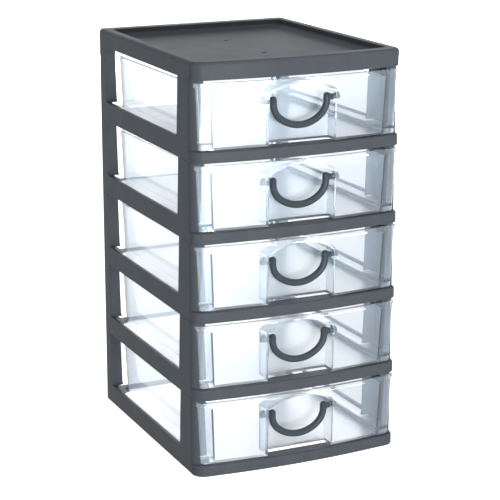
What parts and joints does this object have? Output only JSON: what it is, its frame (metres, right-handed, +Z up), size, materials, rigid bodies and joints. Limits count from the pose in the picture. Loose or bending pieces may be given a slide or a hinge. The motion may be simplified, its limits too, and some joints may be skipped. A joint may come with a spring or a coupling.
{
  "type": "drawer tower",
  "caption": "Desktop tower of clear plastic drawers in stacked grey frame modules with a tray-topped cover; each drawer slides on side wings and has a swinging bail handle.",
  "frame": {"origin": "middle of the footprint, on the table", "axes": "+X to the right across the front, -Y the way the drawers open, +Z up"},
  "size_m": [0.18, 0.217, 0.3315],
  "materials": {
    "frame_plastic": "fine satin moulding texture",
    "drawer_clear": "clear, glossy",
    "handle_plastic": "satin"
  },
  "bodies": {
    "frame": {"frame_module_1": "frame_plastic", "frame_module_2": "frame_plastic", "frame_module_3": "frame_plastic", "frame_module_4": "frame_plastic", "frame_module_5": "frame_plastic", "top_cover": "frame_plastic"},
    "drawer_1": {"drawer_1": "drawer_clear"},
    "handle_1": {"handle_1": "handle_plastic"},
    "drawer_2": {"drawer_2": "drawer_clear"},
    "handle_2": {"handle_2": "handle_plastic"},
    "drawer_3": {"drawer_3": "drawer_clear"},
    "handle_3": {"handle_3": "handle_plastic"},
    "drawer_4": {"drawer_4": "drawer_clear"},
    "handle_4": {"handle_4": "handle_plastic"},
    "drawer_5": {"drawer_5": "drawer_clear"},
    "handle_5": {"handle_5": "handle_plastic"}
  },
  "joints": [
    {"name": "drawer_1_slide", "type": "slide", "parent": "frame", "child": "drawer_1", "axis": [0, -1, 0], "range_m": [0, 0.15]},
    {"name": "drawer_2_slide", "type": "slide", "parent": "frame", "child": "drawer_2", "axis": [0, -1, 0], "range_m": [0, 0.15]},
    {"name": "drawer_3_slide", "type": "slide", "parent": "frame", "child": "drawer_3", "axis": [0, -1, 0], "range_m": [0, 0.15]},
    {"name": "drawer_4_slide", "type": "slide", "parent": "frame", "child": "drawer_4", "axis": [0, -1, 0], "range_m": [0, 0.15]},
    {"name": "drawer_5_slide", "type": "slide", "parent": "frame", "child": "drawer_5", "axis": [0, -1, 0], "range_m": [0, 0.15]},
    {"name": "handle_1_swing", "type": "hinge", "parent": "drawer_1", "child": "handle_1", "pos_m": [0, -0.1011, 0.0435], "axis": [-1, 0, 0], "range_deg": [-15, 128]},
    {"name": "handle_2_swing", "type": "hinge", "parent": "drawer_2", "child": "handle_2", "pos_m": [0, -0.1011, 0.107], "axis": [-1, 0, 0], "range_deg": [-15, 128]},
    {"name": "handle_3_swing", "type": "hinge", "parent": "drawer_3", "child": "handle_3", "pos_m": [0, -0.1011, 0.1705], "axis": [-1, 0, 0], "range_deg": [-15, 128]},
    {"name": "handle_4_swing", "type": "hinge", "parent": "drawer_4", "child": "handle_4", "pos_m": [0, -0.1011, 0.234], "axis": [-1, 0, 0], "range_deg": [-15, 128]},
    {"name": "handle_5_swing", "type": "hinge", "parent": "drawer_5", "child": "handle_5", "pos_m": [0, -0.1011, 0.2975], "axis": [-1, 0, 0], "range_deg": [-15, 128]}
  ]
}
